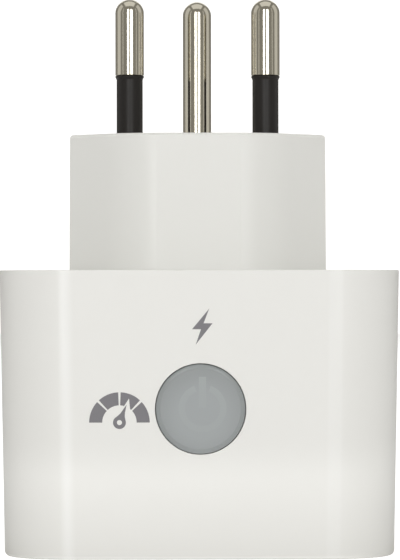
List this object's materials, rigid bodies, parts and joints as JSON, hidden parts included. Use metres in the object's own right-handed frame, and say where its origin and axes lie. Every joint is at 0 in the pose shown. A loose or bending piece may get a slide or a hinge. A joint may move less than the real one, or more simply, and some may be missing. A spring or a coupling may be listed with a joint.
{
  "type": "plug-in power meter",
  "caption": "Switched mains adapter with a metering circuit: round-pin plug block on a rounded white body, recessed socket on the far face, press button on the front.",
  "frame": {"origin": "centre of the socket face, in the plane of its rim and on the line between the line and neutral pins", "axes": "+Z from the socket face to the pin tips; X along the line and neutral pins; -Y is the front face with the button; the earth pin stands 5 mm towards +Y"},
  "size_m": [0.0544, 0.046, 0.0768],
  "materials": {
    "white_shell": "fine matt",
    "white_gloss": "smooth satin",
    "button_grey": "translucent satin",
    "print_grey": "pad printed ink",
    "nickel": "polished nickel plate",
    "sleeve_black": "satin",
    "zinc_steel": "zinc plated",
    "brass": "bright stamping",
    "floor_white": "fine matt",
    "shutter_red": "moulded",
    "spring_steel": "drawn wire",
    "carrier_grey": "glass-filled",
    "guide_grey": "moulded",
    "board_green": "solder mask",
    "header_black": "moulded",
    "switch_body": "moulded",
    "plunger_black": "moulded",
    "led_white": "moulded lens",
    "relay_base_black": "moulded",
    "relay_blue": "moulded",
    "bobbin_ivory": "moulded",
    "copper_wire": "enamelled wire",
    "soft_iron": "zinc plated",
    "shunt_alloy": "rolled strip",
    "chip_black": "moulded",
    "radio_blue": "solder mask",
    "shield_tin": "tin plate",
    "can_blue": "sleeve",
    "film_yellow": "moulded",
    "choke_dark": "ferrite and wire",
    "varistor_blue": "dipped coat",
    "resistor_blue": "cement coat"
  },
  "bodies": {
    "housing": {"housing_shell": "white_shell", "plug_cover": "white_gloss", "cover_screws": "zinc_steel", "button_guide": "guide_grey", "line_pin": "nickel", "neutral_pin": "nickel", "earth_pin": "nickel", "line_pin_sleeve": "sleeve_black", "neutral_pin_sleeve": "sleeve_black", "line_busbar": "brass", "neutral_busbar": "brass", "earth_busbar": "brass", "socket_floor": "floor_white", "shutter_spring": "spring_steel", "contact_carrier": "carrier_grey", "carrier_screws": "zinc_steel", "line_contact": "brass", "neutral_contact": "brass", "earth_contact": "brass", "main_board": "board_green", "control_board": "board_green", "board_header": "header_black", "tact_switch": "switch_body", "status_leds": "led_white", "relay_base": "relay_base_black", "relay_cover": "relay_blue", "relay_bobbin": "bobbin_ivory", "relay_winding": "copper_wire", "relay_yoke": "soft_iron", "relay_fixed_contact": "brass", "relay_terminals": "shield_tin", "current_shunt": "shunt_alloy", "metering_chip": "chip_black", "converter_chip": "chip_black", "bridge_rectifier": "chip_black", "radio_board": "radio_blue", "radio_shield": "shield_tin", "bulk_capacitors": "can_blue", "suppression_capacitor": "film_yellow", "filter_choke": "choke_dark", "surge_varistor": "varistor_blue", "fuse_resistor": "resistor_blue"},
    "button": {"power_button": "button_grey"},
    "plunger": {"tact_plunger": "plunger_black"},
    "shutter": {"safety_shutter": "shutter_red"},
    "armature": {"relay_armature": "soft_iron", "relay_contact_arm": "brass"}
  },
  "joints": [
    {"name": "button_press", "type": "slide", "parent": "housing", "child": "button", "axis": [0, 1, 0], "range_m": [0, 0.0005], "stiffness_N_per_m": 200, "springref_m": -0.001},
    {"name": "plunger_press", "type": "slide", "parent": "housing", "child": "plunger", "axis": [0, 1, 0], "range_m": [0, 0.0005]},
    {"name": "shutter_slide", "type": "slide", "parent": "housing", "child": "shutter", "axis": [0, -1, 0], "range_m": [0, 0.0046], "stiffness_N_per_m": 50, "springref_m": -0.003, "deforming": ["shutter_spring"]},
    {"name": "armature_swing", "type": "hinge", "parent": "housing", "child": "armature", "pos_m": [-0.0139, 0.01555, 0.0193], "axis": [0, -1, 0], "range_deg": [0, 4], "stiffness_Nm_per_rad": 0.002, "springref_deg": -5.73}
  ],
  "couplings": [
    {"joint": "plunger_press", "follows": "button_press", "ratio": 1}
  ]
}
